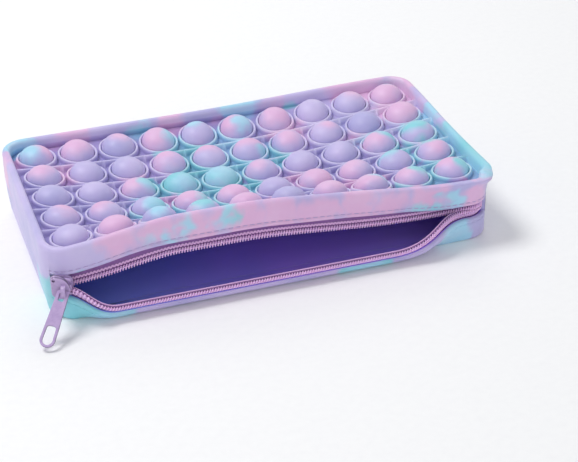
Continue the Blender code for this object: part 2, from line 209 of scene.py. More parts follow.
class Graph:
    """Short hand for wiring a node material."""

    def __init__(self, name):
        self.mat = bpy.data.materials.new(name)
        self.mat.use_nodes = True
        self.nodes = self.mat.node_tree.nodes
        self.links = self.mat.node_tree.links
        self.nodes.clear()
        self.out = self.nodes.new("ShaderNodeOutputMaterial")
        self.shader = self.nodes.new("ShaderNodeBsdfPrincipled")
        self.links.new(self.shader.outputs[0], self.out.inputs[0])
        self.coord = self.nodes.new("ShaderNodeTexCoord").outputs["Object"]

    def put(self, socket, value):
        if isinstance(value, bpy.types.NodeSocket):
            self.links.new(value, socket)
        else:
            socket.default_value = value

    def math(self, op, a, b=0.0, c=0.0, clamp=False):
        node = self.nodes.new("ShaderNodeMath")
        node.operation = op
        node.use_clamp = clamp
        for socket, value in zip(node.inputs, (a, b, c)):
            self.put(socket, value)
        return node.outputs[0]

    def vmath(self, op, a, b=(0, 0, 0), scale=None):
        node = self.nodes.new("ShaderNodeVectorMath")
        node.operation = op
        self.put(node.inputs[0], a)
        self.put(node.inputs[1], b)
        if scale is not None:
            self.put(node.inputs["Scale"], scale)
        return node.outputs["Value" if op == "DISTANCE" else "Vector"]

    def noise(self, scale, detail=2.0, rough=0.5, colour=False, distortion=0.0):
        node = self.nodes.new("ShaderNodeTexNoise")
        self.put(node.inputs["Vector"], self.coord)
        node.inputs["Scale"].default_value = scale
        node.inputs["Detail"].default_value = detail
        node.inputs["Roughness"].default_value = rough
        node.inputs["Distortion"].default_value = distortion
        return node.outputs["Color" if colour else "Fac"]

    def step(self, value, low, high, a=0.0, b=1.0):
        """a where value is at low, b where it is at high, eased between."""
        node = self.nodes.new("ShaderNodeMapRange")
        node.interpolation_type = "SMOOTHSTEP"
        for key, v in (("Value", value), ("From Min", low), ("From Max", high),
                       ("To Min", a), ("To Max", b)):
            self.put(node.inputs[key], v)
        return node.outputs[0]

    def mix(self, fac, a, b, mode="MIX"):
        node = self.nodes.new("ShaderNodeMix")
        node.data_type = "RGBA"
        node.blend_type = mode
        self.put(node.inputs[0], fac)
        self.put(node.inputs[6], a)
        self.put(node.inputs[7], b)
        return node.outputs[2]

    def wave(self, scale, direction):
        node = self.nodes.new("ShaderNodeTexWave")
        node.bands_direction = direction
        self.put(node.inputs["Vector"], self.coord)
        node.inputs["Scale"].default_value = scale
        return node.outputs["Fac"]

    def bump(self, height, strength, distance):
        node = self.nodes.new("ShaderNodeBump")
        node.inputs["Strength"].default_value = strength
        node.inputs["Distance"].default_value = distance
        self.put(node.inputs["Height"], height)
        self.links.new(node.outputs[0], self.shader.inputs["Normal"])

    def set(self, **values):
        """Sockets of the shader by short name, as a number, colour or link."""
        names = {"base": "Base Color", "rough": "Roughness", "metal": "Metallic",
                 "spec": "Specular IOR Level", "sheen": "Sheen Weight",
                 "sss": "Subsurface Weight", "sss_scale": "Subsurface Scale",
                 "sss_radius": "Subsurface Radius", "coat": "Coat Weight",
                 "coat_rough": "Coat Roughness", "sheen_rough": "Sheen Roughness"}
        for key, value in values.items():
            self.put(self.shader.inputs[names[key]], value)


LILAC, LAVENDER = linear(197, 185, 229), linear(178, 174, 221)
PINK, TEAL, CYAN = linear(228, 179, 217), linear(124, 211, 219), linear(160, 215, 238)

# soft-edged dye patches on the body: x, y, z of the middle and radius, all in mm
TEAL_SPOTS = [
    (-92, 44, 30, 9), (-19, 30, 27, 12), (2, 32, 27, 12), (-20, 12, 24, 11), (0, 12, 24, 11),
    (14, 50, 33, 9), (-38, 0, 23, 9), (-20, -6, 23, 11), (-4, -8, 23, 9), (-46, -12, 24, 7),
    (-48, -24, 26, 8), (-30, -24, 26, 9), (-14, -24, 25, 8), (-50, -42, 30, 7),
    (-30, -40, 32, 6), (66, 4, 26, 7), (88, 0, 29, 11), (72, -12, 26, 8), (92, -18, 29, 11),
    (76, -28, 27, 9), (93, -38, 29, 11), (74, -42, 29, 9), (60, -46, 29, 5), (99, 12, 31, 9),
    (99, -8, 31, 9), (99, -30, 32, 9), (97, -50, 34, 5), (76, -53, 27, 4), (-38, -53, 34, 4),
    (-39, -53, 29, 5), (-46, -53, 28, 5), (-54, -53, 28, 4), (-23, -53, 35, 4),
    (-22, -53, 31, 3), (79, -53, 22, 4), (64, -53, 20, 5), (71, -53, 19, 4), (-99, -40, 1, 14),
    (-88, -54, 6, 16), (-72, -56, 6, 9), (-38, 53, 22, 9), (-26, 53, 10, 10), (-14, 53, 18, 5),
    (38, 53, 27, 8), (50, 53, 18, 8), (60, 53, 26, 5), (100, 34, 15, 9), (100, 22, 7, 8),
    (100, 12, 17, 6), (20, 10, 0, 24), (-60, -10, 0, 18), (80, -52, 4, 9), (40, -60, 2, 12),
]
PINK_SPOTS = [
    (-66, 51, 33, 9), (-20, 51, 33, 8), (32, 51, 33, 5), (74, 51, 33, 14), (96, 42, 33, 10),
    (-47, 10, 28, 6), (-99, 36, 24, 8), (-76, 22, 28, 9), (-66, -53, 33, 8), (-50, -53, 34, 9),
    (-34, -53, 33, 9), (-16, -53, 34, 11), (2, -53, 33, 10), (18, -53, 29, 10),
    (34, -53, 28, 10), (50, -53, 28, 9), (66, -53, 28, 8), (90, -53, 24, 9), (91, -53, 32, 5),
    (86, 28, 29, 11), (26, -14, 24, 8), (46, -30, 26, 10), (30, 28, 28, 9), (-66, -38, 30, 8),
    (8, -34, 26, 8), (62, 12, 28, 6), (-78, 53, 20, 10), (-64, 53, 9, 9), (-54, 53, 22, 6),
    (8, 53, 19, 8), (20, 53, 7, 8), (0, 53, 8, 5), (66, 53, 7, 8), (78, 53, 17, 8),
    (88, 53, 8, 6), (100, -8, 20, 8), (100, -20, 9, 8), (-40, -20, 0, 26), (60, 20, 0, 18),
]
# the same on the bubbles: column and row, offset from the bubble's middle, radius
TEAL_DABS = [
    (1, 1, -3, -1, 5.0), (4, 1, 6, 0, 4.5), (5, 1, 0, 3, 4.2), (6, 1, 2, -1, 4.6),
    (3, 3, 5, 0, 4.8), (4, 3, 0, 0, 9), (5, 3, 0, 0, 9), (3, 4, 3, -2, 5.2), (4, 4, 5, -4, 4.4),
    (3, 5, 0, 1, 4.8), (4, 5, 1, 0, 4.4), (9, 3, 5, 1, 5.2), (10, 3, -1, 3, 6.8),
    (9, 4, -4, 3, 4.4), (10, 4, -1, 6, 4.4), (10, 1, 4, 4, 4), (8, 5, 5, 1, 4.8),
    (9, 5, 5, 1, 5), (6, 2, 6, -3, 3.5), (10, 5, 5, -3, 3.6),
]
PINK_DABS = [
    (1, 1, 5, 1, 5), (2, 1, -1, 1, 7), (3, 1, 1, 2, 4), (4, 1, -3, 0, 6.2), (6, 1, -4, 1, 5),
    (7, 1, -1, 0, 7), (9, 1, 2, 1, 4), (10, 1, -2, -1, 7), (1, 2, -2, 2, 6), (4, 2, -2, 2, 6),
    (5, 2, -1, 4, 6), (6, 2, -1, 4, 6), (7, 2, -1, 1, 5), (8, 2, 1, 1, 4), (10, 2, 0, 0, 9),
    (3, 3, -4, 0, 5.5), (6, 3, -3, 1, 4.5), (9, 3, -4, 0, 5.5), (1, 4, 1, 1, 5), (2, 4, 0, 2, 5),
    (4, 4, -2, 1, 7), (5, 4, 0, 1, 8), (7, 4, 0, 0, 8), (8, 4, -2, 0, 5), (10, 4, -1, -1, 5.5),
    (2, 5, 0, 1, 8), (4, 5, -4, -2, 4), (5, 5, 0, 0, 8), (7, 5, 0, 0, 7), (8, 5, -4, 0, 6),
    (9, 5, -3, 0, 5.5), (10, 5, -2, 1, 6),
]


def on_bubbles(dabs):
    """Bubble patches as places on the lid; their height is left out."""
    return [((c - 5.5) * PITCH + dx, (3 - r) * PITCH + dy, 0.0, radius)
            for c, r, dx, dy, radius in dabs]


def dye_mask(g, spots, where, ragged, edge):
    """Union of soft patches, ragged along the edges."""
    best = None
    for x, y, z, radius in spots:
        gap = g.math("SUBTRACT", g.vmath("DISTANCE", where, (x, y, z)), float(radius))
        best = gap if best is None else g.math("MINIMUM", best, gap)
    best = g.math("ADD", best, ragged)
    return g.step(best, edge, -edge)


def paint_lid_shade_and_highlight(g, mm, base):
    """Painted shade low down between the rings, and a paler painted highlight along their tops."""
    split = g.nodes.new("ShaderNodeSeparateXYZ")
    g.links.new(mm, split.inputs[0])
    x, y, z = split.outputs
    u = g.math("DIVIDE", x, SAG_X)
    v = g.math("DIVIDE", g.math("ADD", y, SAG_SHIFT), SAG_Y)
    hang = [g.math("SUBTRACT", 1.0, g.math("MULTIPLY", w, w), clamp=True) for w in (u, v)]
    height = g.math("MULTIPLY_ADD", g.math("MULTIPLY", hang[0], hang[1]), SAG, z)
    # inside the rim only, and not at its round corners
    side, end = g.math("ABSOLUTE", x), g.math("ABSOLUTE", y)
    within = g.math("MULTIPLY", g.step(side, 97.2, 96.4), g.step(end, 49.8, 49.0))
    within = g.math("MULTIPLY", within, g.step(g.math("ADD", side, end), 143.5, 142.0))
    above = g.step(z, 18.0, 19.0)
    # painted shade: the colour darkens where the lid lies low between the rings and ridges
    deep = g.math("MULTIPLY", within, g.math("MULTIPLY", above, g.step(height, 29.9, 27.3)))
    # painted highlight: the colour pales along the tops of the rings and ridges
    painted_highlight = g.math("MULTIPLY", within, g.step(height, 29.3, 30.0, 0.0, 0.3))
    base = g.mix(g.math("MULTIPLY", deep, 0.62), base, linear(168, 158, 206), "MULTIPLY")
    return g.mix(painted_highlight, base, linear(236, 232, 250))


def silicone(name, dome=False):
    """Dyed rubber: lilac ground, pink and teal patches, milky clouds, fine grain; away from the
    bubbles, painted shade in the lid's hollows and a painted highlight on its rings and ridges.
    """
    g = Graph(name)
    mm = g.vmath("SCALE", g.coord, scale=1000.0)
    warp = g.vmath("SUBTRACT", g.noise(42.0, 2.0, colour=True), (0.5, 0.5, 0.5))
    where = g.vmath("ADD", mm, g.vmath("SCALE", warp, scale=8.0 if dome else 20.0))
    fine = g.vmath("SUBTRACT", g.noise(170.0, 2.0, colour=True), (0.5, 0.5, 0.5))
    where = g.vmath("ADD", where, g.vmath("SCALE", fine, scale=4.0 if dome else 8.0))
    teal_spots, pink_spots = TEAL_SPOTS, PINK_SPOTS
    if dome:
        where = g.vmath("MULTIPLY", where, (1.0, 1.0, 0.0))
        teal_spots, pink_spots = on_bubbles(TEAL_DABS), on_bubbles(PINK_DABS)
    ragged = g.math("MULTIPLY", g.math("SUBTRACT", g.noise(60.0, 3.0), 0.5), 7.0)
    teal = dye_mask(g, teal_spots, where, ragged, 2.2)
    pink = dye_mask(g, pink_spots, where, g.math("MULTIPLY", ragged, -1.0), 3.6)
    base = g.mix(g.step(g.noise(30.0, 2.0, distortion=0.6), 0.36, 0.64), LILAC, LAVENDER)
    base = g.mix(g.math("MULTIPLY", pink, 0.85), base, PINK)
    tint = g.mix(g.step(g.noise(33.0, 1.0), 0.4, 0.62), TEAL, CYAN)
    base = g.mix(g.math("MULTIPLY", teal, 0.9), base, tint)
    milk = g.step(g.noise(75.0, 4.0, 0.6), 0.35, 0.75, 0.0, 0.16)
    base = g.mix(milk, base, linear(232, 224, 242))
    if not dome:
        # painted shade in the lid's hollows and painted highlight on its rings and ridges
        base = paint_lid_shade_and_highlight(g, mm, base)
    rough = g.step(g.noise(300.0, 3.0), 0.3, 0.7, 0.42, 0.54)
    g.set(base=base, rough=rough, spec=0.42, sss=0.1, sss_scale=0.002,
          sss_radius=(1.0, 0.75, 0.9), sheen=0.12, sheen_rough=0.5)
    speck = g.math("ADD", g.noise(1500.0, 2.0), g.math("MULTIPLY", g.noise(220.0, 2.0), 1.6))
    g.bump(speck, 0.16, 0.00006)
    return g.mat


def inside_painted_shade(name):
    """Inside of the bare rubber case, painted a saturated violet as painted shade on the lilac
    rubber; bluer towards the left, where teal dye lies in that shade.
    """
    g = Graph(name)
    cool = g.step(g.noise(16.0, 2.0), 0.38, 0.62)
    split = g.nodes.new("ShaderNodeSeparateXYZ")
    g.links.new(g.coord, split.inputs[0])
    leftness = g.step(split.outputs[0], 0.01, -0.095)
    base = g.mix(cool, linear(150, 130, 240), linear(166, 132, 244))
    base = g.mix(g.math("MULTIPLY", leftness, 0.8), base, linear(132, 160, 250))
    g.set(base=base, rough=0.55, spec=0.35, sss=0.08, sss_scale=0.002)
    g.bump(g.noise(900.0, 3.0), 0.15, 0.0001)
    return g.mat


def thread(name, colour):
    g = Graph(name)
    twist = g.wave(900.0, "DIAGONAL")
    g.set(base=g.mix(g.math("MULTIPLY", twist, 0.35), colour, linear(150, 98, 168)),
          rough=0.6, spec=0.3, sheen=0.3)
    g.bump(twist, 0.5, 0.0001)
    return g.mat


def woven(name):
    g = Graph(name)
    warp = g.wave(620.0, "X")
    weft = g.wave(760.0, "Z")
    weave = g.math("MULTIPLY", warp, weft)
    fuzz = g.noise(1400.0, 2.0)
    base = g.mix(weave, linear(112, 70, 134), linear(170, 124, 188))
    base = g.mix(g.math("MULTIPLY", fuzz, 0.25), base, linear(206, 168, 216))
    g.set(base=base, rough=0.88, spec=0.2, sheen=0.35, sheen_rough=0.4)
    g.bump(g.math("ADD", weave, g.math("MULTIPLY", fuzz, 0.4)), 0.7, 0.00015)
    return g.mat


def nylon(name):
    g = Graph(name)
    cloud = g.noise(320.0, 3.0)
    base = g.mix(cloud, linear(226, 176, 232), linear(247, 212, 249))
    g.set(base=base, rough=g.step(cloud, 0.3, 0.7, 0.3, 0.42), spec=0.5, sss=0.06,
          sss_scale=0.001)
    g.bump(g.noise(2200.0, 2.0), 0.15, 0.00005)
    return g.mat


def paint(name, worn=False):
    g = Graph(name)
    chips = g.noise(420.0, 4.0, 0.65)
    if worn:
        base = g.mix(g.step(chips, 0.42, 0.6), linear(128, 118, 140), linear(158, 142, 172))
        g.set(base=base, rough=g.step(chips, 0.3, 0.7, 0.28, 0.45), metal=0.65, spec=0.5)
    else:
        base = g.mix(g.step(chips, 0.3, 0.7), linear(176, 152, 200), linear(190, 166, 210))
        g.set(base=base, rough=g.step(chips, 0.3, 0.7, 0.3, 0.4), spec=0.5, coat=0.25,
              coat_rough=0.25)
    g.bump(g.noise(900.0, 3.0), 0.12, 0.00006)
    return g.mat


OUTER = silicone("silicone_dyed")
DOME = silicone("silicone_bubble_dyed", dome=True)
# painted shade: the case's inside faces and the bubbles' inner skins take this violet
INNER = inside_painted_shade("silicone_inside_painted_shade")
TAPE = woven("tape_weave")
THREAD = thread("thread_bright", linear(244, 200, 244))
SEAM = thread("thread_matching", linear(196, 180, 222))
NYLON = nylon("coil_nylon")
PAINT = paint("slider_paint_face")
WORN = paint("slider_paint_edge", worn=True)


# ---------------------------------------------------------------- lid deck
def cell_centre(r, c):
    """Middle of a cell; row 0 is at the back, column 0 at the left."""
    return ((c - (COLUMNS - 1) / 2) * PITCH, ((ROWS - 1) / 2 - r) * PITCH)


def to_wall(x, y, inset):
    """Carry a cell's outermost points to the rim, round its corners."""
    wide, deep, radius = HALF_L - inset, HALF_W - inset, CORNER_R - inset
    x = np.where(np.abs(x) > CELL * COLUMNS - 0.01, np.sign(x) * wide, x)
    y = np.where(np.abs(y) > CELL * ROWS - 0.01, np.sign(y) * deep, y)
    ax, ay = np.abs(x) - (wide - radius), np.abs(y) - (deep - radius)
    far = np.hypot(np.clip(ax, 0, None), np.clip(ay, 0, None))
    corner = (ax > 0) & (ay > 0) & (far > 1e-9)
    pull = np.where(corner, radius / np.where(corner, far, 1.0), 1.0)
    nx = np.where(corner, np.sign(x) * (wide - radius + ax * pull), x)
    ny = np.where(corner, np.sign(y) * (deep - radius + ay * pull), y)
    return nx, ny


def relief(x, y, cx, cy):
    """Height of the ring beads and the long ridges above the deck."""
    rho = np.hypot(x - cx, y - cy)
    bead = RING_H * np.clip(1 - ((rho - RING_R) / RING_HALF) ** 2, 0, None) ** 0.4
    near = np.abs(np.abs(np.abs(y) - 2 * CELL) - CELL)
    ridge = RIDGE_H * np.clip(1 - (near / RIDGE_HALF) ** 2, 0, None) ** 0.5
    return (bead ** 6 + ridge ** 6) ** (1 / 6)


def cell_top(soup, r, c):
    """One cell of the lid: hole for the bubble, ring bead, flat and underside."""
    turns = 64
    cx, cy = cell_centre(r, c)
    angle = np.linspace(0, 2 * math.pi, turns, endpoint=False)
    ux, uy = np.cos(angle), np.sin(angle)
    reach = CELL / np.maximum(np.abs(ux), np.abs(uy))
    ex, ey = to_wall(cx + ux * reach, cy + uy * reach, RIM_W - 0.1)
    rings = [(cx + ux * 7.6, cy + uy * 7.6, np.full(turns, UNDER_Z + 0.1))]
    last = 9.42
    for rho in (7.66, 7.7, 7.78, 7.92, 8.15, 8.5, 8.85, 9.08, 9.22, 9.3, 9.34, last):
        x, y = cx + ux * rho, cy + uy * rho
        rings.append((x, y, DECK_Z + relief(x, y, cx, cy)))
    for t in (0.1, 0.25, 0.4, 0.52, 0.62, 0.7, 0.76, 0.82, 0.88, 0.94, 1.0):
        x = (cx + ux * last) * (1 - t) + ex * t
        y = (cy + uy * last) * (1 - t) + ey * t
        rings.append((x, y, DECK_Z + relief(x, y, cx, cy)))
    points = np.array([np.stack([x, y, z - sag(x, y)], -1) for x, y, z in rings])
    soup.grid(points, 0, wrap=True)
    low = np.array([np.stack([x, y, UNDER_Z - sag(x, y)], -1) for x, y in
                    ((cx + ux * 7.5, cy + uy * 7.5), (ex, ey))])
    soup.grid(low[:, ::2], 1, wrap=True, flip=True)


# ---------------------------------------------------------------- walls
# A station is a place on the outer face in plan, with the direction it faces:
# x, y, outward x, outward y. They run round the body from the mouth's left end.
def arc_points(cx, cy, start, end, count):
    return [(cx + CORNER_R * math.sin(a), cy - CORNER_R * math.cos(a), math.sin(a), -math.cos(a))
            for a in np.linspace(start, end, count)]


def front_stations():
    """Stations along the mouth; one falls on each break of the lips."""
    special = math.asin((LOW_BREAKS[3] - ARC_X) / CORNER_R)
    first = math.asin((-UP_BREAKS[0] - ARC_X) / CORNER_R)
    left = arc_points(-ARC_X, -ARC_Y, SLIT_LEFT, -first, 3)
    left += arc_points(-ARC_X, -ARC_Y, -first, 0, 15)[1:]
    xs = np.unique(np.concatenate([np.arange(-88, 89, 2.0), [-ARC_X, ARC_X, -75]]))
    middle = [(x, -HALF_W, 0.0, -1.0) for x in xs[1:-1]]
    right = arc_points(ARC_X, -ARC_Y, 0, special, 12)
    right += arc_points(ARC_X, -ARC_Y, special, SLIT_RIGHT, 10)[1:]
    return np.array(left + middle + right)


def other_stations():
    """Stations along the rest of the walls, on from the mouth's right end."""
    half = math.pi / 2
    pts = arc_points(ARC_X, -ARC_Y, SLIT_RIGHT, half, 6)
    pts += [(HALF_L, y, 1.0, 0.0) for y in np.linspace(-ARC_Y, ARC_Y, 22)[1:-1]]
    pts += arc_points(ARC_X, ARC_Y, half, 2 * half, 16)
    pts += [(x, HALF_W, 0.0, 1.0) for x in np.linspace(ARC_X, -ARC_X, 44)[1:-1]]
    pts += arc_points(-ARC_X, ARC_Y, 2 * half, 3 * half, 16)
    pts += [(-HALF_L, y, -1.0, 0.0) for y in np.linspace(ARC_Y, -ARC_Y, 22)[1:-1]]
    pts += arc_points(-ARC_X, -ARC_Y, -half, SLIT_LEFT, 8)
    return np.array(pts)


def swept(stations, profile):
    """Stations x profile grid of points; profile is (inset from the outer face, height)."""
    prof = np.array(profile, float)
    x = stations[:, None, 0] - stations[:, None, 2] * prof[None, :, 0]
    y = stations[:, None, 1] - stations[:, None, 3] * prof[None, :, 0]
    z = np.broadcast_to(prof[None, :, 1], x.shape)
    return np.stack([x, y, z], -1)


def groove(z):
    """Shallow channel round the body that the stitches lie in."""
    return [(0.0, z + 0.7), (0.05, z + 0.45), (0.16, z + 0.25), (0.2, z), (0.16, z - 0.25),
            (0.05, z - 0.45), (0.0, z - 0.7)]


# wall profiles: distance in from the outer face, height
RIM = [(3.55, 26.1), (3.5, 28.6), (3.47, 30.6), (3.4, 31.6), (3.15, 32.35), (2.7, 32.85),
       (2.1, 33.0), (1.5, 33.0), (0.9, 32.8), (0.42, 32.35), (0.12, 31.7), (0.0, 30.8)]
ZIP_Z = 14.1                       # where the two halves of the zipper meet
SEAM_UP, SEAM_LOW = 23.9, 8.6
LIP_UP, LIP_LOW = 22.0, 10.8       # edges of the rubber above and below the zipper
UPPER_OUT = RIM + [(0.0, 29.0), (0.0, 27.0)] + groove(SEAM_UP)
UPPER_OUT += [(0.0, LIP_UP + 1.1), (0.1, LIP_UP + 0.6), (0.42, LIP_UP + 0.18),
              (0.95, LIP_UP), (1.7, LIP_UP)]
UPPER_IN = [(1.7, LIP_UP), (2.25, LIP_UP + 0.15), (2.6, LIP_UP + 0.6), (2.65, LIP_UP + 1.5),
            (2.65, 24.5), (2.7, 26.2)]
LOWER_OUT = [(1.7, LIP_LOW), (1.0, LIP_LOW), (0.45, LIP_LOW - 0.15), (0.1, LIP_LOW - 0.55),
             (0.0, LIP_LOW - 1.0)]
LOWER_OUT += groove(SEAM_LOW) + [(0.0, 6.8), (0.0, 5.2), (0.0, 3.8), (0.0, 2.6)]
LOWER_IN = [(3.0, 1.5), (2.9, 5.0), (2.75, 8.0), (2.6, LIP_LOW - 0.8), (2.3, LIP_LOW - 0.25),
            (1.7, LIP_LOW)]
KNUCKLE = [(1.5 - 1.5 * math.cos(a), 1.5 - 1.5 * math.sin(a))
           for a in np.linspace(0, math.pi, 17)]   # rounded foot of the lower lip


def foot(tuck):
    """Rounded bottom of the wall, drawn further in where tuck is larger."""
    radius = 1.5 + 3.3 * tuck
    shift = 1.1 * tuck
    arc = [(shift + radius - radius * math.cos(a), radius - radius * math.sin(a))
           for a in np.linspace(0, math.pi / 2, 9)]
    return [(shift * t, radius + (20.0 - radius) * (1 - t ** 0.7)) for t in (0.0, 0.4, 0.75)] + arc


FULL_IN = [(4.4, 2.2), (2.9, 4.5), (SKIN_IN, 10.0), (SKIN_IN, 18.0), (SKIN_IN, 26.2)]

FRONT = front_stations()
OTHER = other_stations()


def stretch(low, high):
    """Front stations whose outer face lies between two places along X."""
    x = FRONT[:, 0]
    return FRONT[(x >= low - 0.02) & (x <= high + 0.02)]


def hem_drop(x):
    """How far the upper lip's hem hangs below LIP_UP."""
    middle = smooth((x + 68) / 26) - 0.6 * smooth((x - 5) / 30)
    return 1.9 + 1.2 * middle + 2.3 * smooth((x - 54) / 28)


def wall_upper(soup, stations):
    """Front rim and the wall down to the zipper."""
    for profile, mat in ((UPPER_OUT, 0), (UPPER_IN, 1)):
        points = swept(stations, profile)
        points[..., 2] -= hem_drop(points[..., 0]) * smooth((28.0 - points[..., 2]) / 4.0)
        soup.grid(points, mat)


def wall_lower(soup, stations):
    """Wall from the zipper down to the floor."""
    soup.grid(swept(stations, LOWER_OUT + KNUCKLE), 0)
    soup.grid(swept(stations, LOWER_IN), 1)


def tucks(count, ease=7):
    """Tuck of the bottom edge round the closed walls, easing off at both ends."""
    k = np.arange(count)
    return smooth(np.minimum(k, count - 1 - k) / ease)


def wall_full(soup, stations):
    """Back and side walls; their foot changes shape from place to place."""
    rows = []
    for station, tuck in zip(stations, tucks(len(stations))):
        row = swept(station[None, :], RIM + [(0.0, 26.0)] + foot(tuck))[0]
        # beside the mouth's left end the foot follows the opened lower lip
        if station[0] < -ARC_X and station[1] < -ARC_Y:
            row += (open_lower(row) - row) * smooth((21.0 - row[:, 2:]) / 8.0)
        rows.append(row)
    soup.grid(np.array(rows), 0)
    soup.grid(swept(stations, FULL_IN), 1)


def base_loop(inset, z, tucked):
    """Outline of the base, drawn further in round the tucked foot."""
    pts = np.concatenate([FRONT, OTHER[1:-1]])
    far = np.concatenate([np.zeros(len(FRONT)), tucks(len(OTHER))[1:-1]])
    inset = inset + (4.4 * far if tucked else 0.0)
    return np.stack([pts[:, 0] - pts[:, 2] * inset, pts[:, 1] - pts[:, 3] * inset,
                     np.full(len(pts), z)], -1)


def region(c):
    """Stretch of the upper lip that a column of the front row belongs to."""
    return "left" if c < 3 else "mid" if c < 4 else "right"


case = Soup()
for r in range(ROWS - 1):
    for c in range(COLUMNS):
        cell_top(case, r, c)
wall_full(case, OTHER)
# underside, which faces down, and floor of the inside
for z, inset, mat, down in ((0.0, 1.5, 0, True), (2.2, 2.83, 1, False)):
    loop = base_loop(inset, z, down)
    order = list(range(len(loop)))
    case.add(loop, [order[::-1] if down else order], mat)
# the wall's cut faces at the two ends of the mouth
for station in (OTHER[0], OTHER[-1]):
    low, high = LIP_LOW - 1.0, LIP_UP + 1.0
    block = [(0.1, low), (0.1, high), (SKIN_IN, high), (SKIN_IN, low)]
    case.add(swept(station[None, :], block)[0], [(0, 1, 2, 3)], 0)
wall_upper(case, stretch(-101.0, UP_BREAKS[0]))
wall_upper(case, stretch(UP_BREAKS[3], 101.0))
wall_lower(case, stretch(LOW_BREAKS[3], 101.0))
body = case.make("case_shell", [OUTER, INNER])
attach(body, "case")
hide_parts("case_tub", "top_panel")

def hang(obj, lip, where, breaks):
    """Ride with the lip in the middle stretch of the mouth; in the left and right stretches the
    placement is baked into the mesh, and any other stretch rides the case.
    """
    if where == "mid":
        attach(obj, lip)
    elif where == "left":
        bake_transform(obj)
    elif where == "right":
        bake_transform(obj)
    else:
        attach(obj, "case")


for k, where in enumerate(("left", "mid", "right")):
    soup = Soup()
    for c in range(COLUMNS):
        if region(c) == where:
            cell_top(soup, ROWS - 1, c)
    wall_upper(soup, stretch(UP_BREAKS[k], UP_BREAKS[k + 1]))
    piece = soup.make("upper_lip_" + where, [OUTER, INNER], open_upper)
    hang(piece, "upper_lip", where, UP_BREAKS)
    if where == "mid":
        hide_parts("upper_lip")
    soup = Soup()
    wall_lower(soup, stretch(LOW_BREAKS[k], LOW_BREAKS[k + 1]))
    piece = soup.make("lower_lip_" + where, [OUTER, INNER], open_lower)
    hang(piece, "lower_lip", where, LOW_BREAKS)
    if where == "mid":
        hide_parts("lower_lip")


# ---------------------------------------------------------------- bubbles
def bubble_soup(r, c, under):
    """Outer skin of a bubble, or the inner skin under it."""
    cx, cy = cell_centre(r, c)
    turns, steps = (24, 10) if under else (48, 16)
    angle = np.linspace(0, 2 * math.pi, turns, endpoint=False)
    profile = [(BUBBLE_R * math.cos(a), CREASE_Z + BUBBLE_H * math.sin(a))
               for a in np.linspace(0.0, math.pi / 2, steps)]
    if under:
        profile = [(7.55, CREASE_Z - 2.3)] + [(rho * 0.965, z - UNDER_GAP) for rho, z in profile]
    else:
        # the front row's skirt is longer, because its bubbles move against the lid
        skirt = 3.4 if r == ROWS - 1 else 1.5
        profile = [(BUBBLE_R - 0.1, CREASE_Z - skirt), (BUBBLE_R - 0.02, CREASE_Z - 0.5)] + profile
    rings = []
    for rho, z in profile:
        rho = max(rho, 0.01)
        x, y = cx + rho * np.cos(angle), cy + rho * np.sin(angle)
        rings.append(np.stack([x, y, z - sag(x, y)], -1))
    soup = Soup()
    soup.grid(np.array(rings), 0, wrap=True, flip=under)
    return soup


for r in range(ROWS):
    for c in range(COLUMNS):
        label = "bubble_r%d_c%02d" % (r + 1, c + 1)
        cx, cy = cell_centre(r, c)
        lip = r == ROWS - 1
        # the bubbles near the lip's ends hardly move with it
        drop = sag(np.array([cx]), np.array([cy]))[0]
        for under in (False, True):
            # heights where a press would begin to carry the rubber, and where it would carry it
            # fully; the inner skin's are set so it would give way a little sooner and stay behind
            # the pressed dome. They are worked out here but not used.
            begin = CREASE_Z + 0.3 - drop - (UNDER_GAP if under else 0.0)
            full = begin + BUBBLE_H - (2.0 if under else 0.3)
            ends = settle_soft([(cx, cy, begin), (cx, cy, full)])
            ends = open_upper(ends) if lip else ends
            name = label + ("_inside" if under else "_dome")
            soup = bubble_soup(r, c, under)
            # the inner skin takes the inside's violet, which is painted shade
            piece = soup.make(name, [INNER if under else DOME], open_upper if lip else None)
            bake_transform(piece)
            if not under:
                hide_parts(label)


# ---------------------------------------------------------------- zipper
# a run is a length along the mouth's outer face, from the middle, round both corners
S_LEFT = -ARC_X + CORNER_R * SLIT_LEFT
S_RIGHT = ARC_X + CORNER_R * SLIT_RIGHT


def along(s, inset, z):
    """Point at run s along the mouth, inset from the outer face, at height z."""
    s, inset, z = np.broadcast_arrays(*[np.asarray(v, float) for v in (s, inset, z)])
    over = np.clip(np.abs(s) - ARC_X, 0, None) / CORNER_R * np.sign(s)
    nx, ny = np.sin(over), -np.cos(over)
    x = np.clip(s, -ARC_X, ARC_X) + (CORNER_R - inset) * nx
    y = -ARC_Y + (CORNER_R - inset) * ny
    return np.stack([x, y, z], -1)


def tube(soup, line, radius, sides):
    """Round wire or thread along a line of points."""
    step = np.gradient(line, axis=0)
    step /= np.linalg.norm(step, axis=1, keepdims=True)
    guide = np.tile(np.array([0.0, 0.37, 0.93]), (len(line), 1))
    side = np.cross(step, guide)
    side /= np.linalg.norm(side, axis=1, keepdims=True)
    top = np.cross(side, step)
    a = np.linspace(0, 2 * math.pi, sides, endpoint=False)
    ring = side[:, None, :] * np.cos(a)[None, :, None] + top[:, None, :] * np.sin(a)[None, :, None]
    soup.grid(line[:, None, :] + ring * radius, wrap=True)


def run_at(x):
    """Run along the mouth at a place along X."""
    over = min(max(abs(x) - ARC_X, 0.0) / CORNER_R, 1.0)
    return math.copysign(min(abs(x), ARC_X) + CORNER_R * math.asin(over), x)


def runs(breaks):
    """Stretches of a lip as (name, first run, last run)."""
    marks = [S_LEFT] + [max(run_at(x), S_LEFT) for x in breaks] + [S_RIGHT]
    names = ("left_end", "left", "mid", "right", "right_end")
    return [(name, a, b) for name, a, b in zip(names, marks, marks[1:]) if b - a > 0.3]


